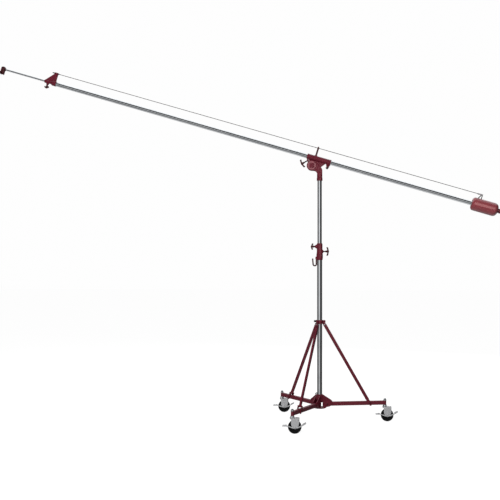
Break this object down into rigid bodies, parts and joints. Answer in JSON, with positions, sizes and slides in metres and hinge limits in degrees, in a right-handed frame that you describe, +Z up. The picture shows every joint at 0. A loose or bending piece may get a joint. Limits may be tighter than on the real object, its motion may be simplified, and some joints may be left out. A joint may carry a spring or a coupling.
{
  "type": "boom light stand",
  "caption": "Wheeled folding light stand: telescoping chrome column, tilting cable-trussed boom with extension rod, lamp receiver and barrel counterweight.",
  "frame": {"origin": "on the floor under the middle of the object's bounding box as stored, which lies on the boom's side of the column", "axes": "+X along the boom in plan, towards the counterweight; +Y across it, away from the viewer; +Z up"},
  "size_m": [4.1894, 0.9615, 2.9557],
  "materials": {
    "maroon_enamel": "semi-gloss enamel on steel castings and tube",
    "counterweight_enamel": "glossy enamel on cast iron",
    "chrome_plate": "polished",
    "zinc_plate": "bright zinc plate",
    "dark_steel": "blackened",
    "steel_cable": "laid wire",
    "black_tyre": "matt rubber"
  },
  "bodies": {
    "base": {"base_hub": "maroon_enamel", "lower_column": "chrome_plate", "leg_hinge_pin_1": "dark_steel", "leg_hinge_pin_2": "dark_steel", "leg_hinge_pin_3": "dark_steel", "column_clamp": "maroon_enamel", "cable_hook": "dark_steel"},
    "lock_pin": {"lock_pin": "dark_steel"},
    "riser": {"riser_tube": "chrome_plate"},
    "head": {"swivel_yoke": "maroon_enamel", "tilt_bolt": "maroon_enamel", "tilt_nut": "dark_steel"},
    "saddle": {"boom_saddle": "maroon_enamel", "truss_post": "maroon_enamel"},
    "boom": {"boom_tube": "chrome_plate", "front_bracket": "maroon_enamel", "truss_wire": "steel_cable", "wire_front_anchor": "dark_steel", "wire_rear_anchor": "dark_steel", "counterweight": "counterweight_enamel", "counterweight_screw": "dark_steel", "tail_plug": "maroon_enamel"},
    "rod": {"extension_rod": "chrome_plate"},
    "receiver": {"lamp_receiver": "maroon_enamel"},
    "collar": {"brace_collar": "maroon_enamel"},
    "riser_lock_handle": {"riser_lock_handle": "maroon_enamel"},
    "column_lock_handle": {"column_lock_handle": "maroon_enamel"},
    "tilt_lock_handle": {"tilt_lock_handle": "maroon_enamel"},
    "boom_lock_handle": {"boom_lock_handle": "maroon_enamel"},
    "rod_lock_handle": {"rod_lock_handle": "maroon_enamel"},
    "receiver_lock_handle": {"receiver_lock_handle": "maroon_enamel"},
    "collar_screw": {"collar_screw": "dark_steel"},
    "leg_1": {"leg_1": "maroon_enamel", "brace_pin_1": "dark_steel", "caster_stem_1": "zinc_plate"},
    "brace_1": {"brace_1": "maroon_enamel", "brace_top_pin_1": "zinc_plate"},
    "caster_1": {"caster_fork_1": "zinc_plate", "caster_axle_1": "zinc_plate"},
    "wheel_1": {"caster_wheel_1": "black_tyre"},
    "pedal_1": {"brake_pedal_1": "zinc_plate"},
    "leg_2": {"leg_2": "maroon_enamel", "brace_pin_2": "dark_steel", "caster_stem_2": "zinc_plate"},
    "brace_2": {"brace_2": "maroon_enamel", "brace_top_pin_2": "zinc_plate"},
    "caster_2": {"caster_fork_2": "zinc_plate", "caster_axle_2": "zinc_plate"},
    "wheel_2": {"caster_wheel_2": "black_tyre"},
    "pedal_2": {"brake_pedal_2": "zinc_plate"},
    "leg_3": {"leg_3": "maroon_enamel", "brace_pin_3": "dark_steel", "caster_stem_3": "zinc_plate"},
    "brace_3": {"brace_3": "maroon_enamel", "brace_top_pin_3": "zinc_plate"},
    "caster_3": {"caster_fork_3": "zinc_plate", "caster_axle_3": "zinc_plate"},
    "wheel_3": {"caster_wheel_3": "black_tyre"},
    "pedal_3": {"brake_pedal_3": "zinc_plate"}
  },
  "joints": [
    {"name": "lock_pin_lift", "type": "slide", "parent": "base", "child": "lock_pin", "axis": [0, 0, 1], "range_m": [0, 0.018]},
    {"name": "riser_slide", "type": "slide", "parent": "base", "child": "riser", "axis": [0, 0, 1], "range_m": [-0.49, 0.55]},
    {"name": "pan", "type": "hinge", "parent": "riser", "child": "head", "pos_m": [0.6616, 0.0474, 1.97], "axis": [0, 0, 1], "continuous": true},
    {"name": "boom_tilt", "type": "hinge", "parent": "head", "child": "saddle", "pos_m": [0.5986, 0.0474, 2.068], "axis": [0, -1, 0], "range_deg": [-18, 57]},
    {"name": "boom_slide", "type": "slide", "parent": "saddle", "child": "boom", "axis": [0.9566, 0, -0.2915], "range_m": [-1.1, 2.1]},
    {"name": "rod_slide", "type": "slide", "parent": "boom", "child": "rod", "axis": [-0.9566, 0, 0.2915], "range_m": [-0.32, 0.55]},
    {"name": "receiver_roll", "type": "hinge", "parent": "rod", "child": "receiver", "pos_m": [-2.02189, 0.0474, 2.93357], "axis": [0.9566, 0, -0.2915], "continuous": true},
    {"name": "collar_slide", "type": "slide", "parent": "base", "child": "collar", "axis": [0, 0, 1], "range_m": [0, 0.369]},
    {"name": "riser_lock_turn", "type": "hinge", "parent": "base", "child": "riser_lock_handle", "pos_m": [0.5976, 0.0474, 1.414], "axis": [-1, 0, 0], "range_deg": [0, 270]},
    {"name": "column_lock_turn", "type": "hinge", "parent": "base", "child": "column_lock_handle", "pos_m": [0.7286, 0.0474, 1.374], "axis": [1, 0, 0], "range_deg": [0, 270]},
    {"name": "tilt_lock_turn", "type": "hinge", "parent": "saddle", "child": "tilt_lock_handle", "pos_m": [0.51842, 0.0474, 2.08466], "axis": [-0.8742, 0, -0.4856], "range_deg": [0, 270]},
    {"name": "boom_lock_turn", "type": "hinge", "parent": "saddle", "child": "boom_lock_handle", "pos_m": [0.7213, 0.0474, 2.04524], "axis": [-0.2915, 0, -0.9566], "range_deg": [0, 270]},
    {"name": "rod_lock_turn", "type": "hinge", "parent": "boom", "child": "rod_lock_handle", "pos_m": [-1.63949, 0.0474, 2.76476], "axis": [-0.2915, 0, -0.9566], "range_deg": [0, 270]},
    {"name": "receiver_lock_turn", "type": "hinge", "parent": "receiver", "child": "receiver_lock_handle", "pos_m": [-2.08487, 0.0474, 2.92245], "axis": [-0.9566, 0, 0.2915], "range_deg": [0, 270]},
    {"name": "collar_screw_turn", "type": "hinge", "parent": "collar", "child": "collar_screw", "pos_m": [0.6616, 0.0474, 0.8115], "axis": [-0.9848, -0.1736, 0], "range_deg": [0, 270]},
    {"name": "leg_fold_1", "type": "hinge", "parent": "base", "child": "leg_1", "pos_m": [0.62303, 0.09336, 0.1445], "axis": [0.766, 0.6428, 0], "range_deg": [0, 60.05]},
    {"name": "brace_fold_1", "type": "hinge", "parent": "leg_1", "child": "brace_1", "pos_m": [0.40129, 0.35763, 0.14889], "axis": [-0.766, -0.6428, 0], "range_deg": [0, 75.01]},
    {"name": "caster_swivel_1", "type": "hinge", "parent": "leg_1", "child": "caster_1", "pos_m": [0.32028, 0.45417, 0.12], "axis": [0, 0, 1], "continuous": true},
    {"name": "wheel_spin_1", "type": "hinge", "parent": "caster_1", "child": "wheel_1", "pos_m": [0.33828, 0.45417, 0.0508], "axis": [0, 1, 0], "continuous": true},
    {"name": "brake_1", "type": "hinge", "parent": "caster_1", "child": "pedal_1", "pos_m": [0.33828, 0.45417, 0.0508], "axis": [0, 1, 0], "range_deg": [-8, 8]},
    {"name": "leg_fold_2", "type": "hinge", "parent": "base", "child": "leg_2", "pos_m": [0.64108, -0.00898, 0.1445], "axis": [-0.9397, 0.342, 0], "range_deg": [0, 60.05]},
    {"name": "brace_fold_2", "type": "hinge", "parent": "leg_2", "child": "brace_2", "pos_m": [0.52309, -0.33315, 0.14889], "axis": [0.9397, -0.342, 0], "range_deg": [0, 75.01]},
    {"name": "caster_swivel_2", "type": "hinge", "parent": "leg_2", "child": "caster_2", "pos_m": [0.47999, -0.45158, 0.12], "axis": [0, 0, 1], "continuous": true},
    {"name": "wheel_spin_2", "type": "hinge", "parent": "caster_2", "child": "wheel_2", "pos_m": [0.49799, -0.45158, 0.0508], "axis": [0, 1, 0], "continuous": true},
    {"name": "brake_2", "type": "hinge", "parent": "caster_2", "child": "pedal_2", "pos_m": [0.49799, -0.45158, 0.0508], "axis": [0, 1, 0], "range_deg": [-8, 8]},
    {"name": "leg_fold_3", "type": "hinge", "parent": "base", "child": "leg_3", "pos_m": [0.72069, 0.05782, 0.1445], "axis": [0.1736, -0.9848, 0], "range_deg": [0, 60.05]},
    {"name": "brace_fold_3", "type": "hinge", "parent": "leg_3", "child": "brace_3", "pos_m": [1.06042, 0.11772, 0.14889], "axis": [-0.1736, 0.9848, 0], "range_deg": [0, 75.01]},
    {"name": "caster_swivel_3", "type": "hinge", "parent": "leg_3", "child": "caster_3", "pos_m": [1.18453, 0.13961, 0.12], "axis": [0, 0, 1], "continuous": true},
    {"name": "wheel_spin_3", "type": "hinge", "parent": "caster_3", "child": "wheel_3", "pos_m": [1.20253, 0.13961, 0.0508], "axis": [0, 1, 0], "continuous": true},
    {"name": "brake_3", "type": "hinge", "parent": "caster_3", "child": "pedal_3", "pos_m": [1.20253, 0.13961, 0.0508], "axis": [0, 1, 0], "range_deg": [-8, 8]}
  ],
  "couplings": [
    {"joint": "leg_fold_1", "follows": "collar_slide", "rad_per_m": 2.8379},
    {"joint": "brace_fold_1", "follows": "collar_slide", "rad_per_m": 3.5455},
    {"joint": "leg_fold_2", "follows": "collar_slide", "rad_per_m": 2.8379},
    {"joint": "brace_fold_2", "follows": "collar_slide", "rad_per_m": 3.5455},
    {"joint": "leg_fold_3", "follows": "collar_slide", "rad_per_m": 2.8379},
    {"joint": "brace_fold_3", "follows": "collar_slide", "rad_per_m": 3.5455}
  ]
}
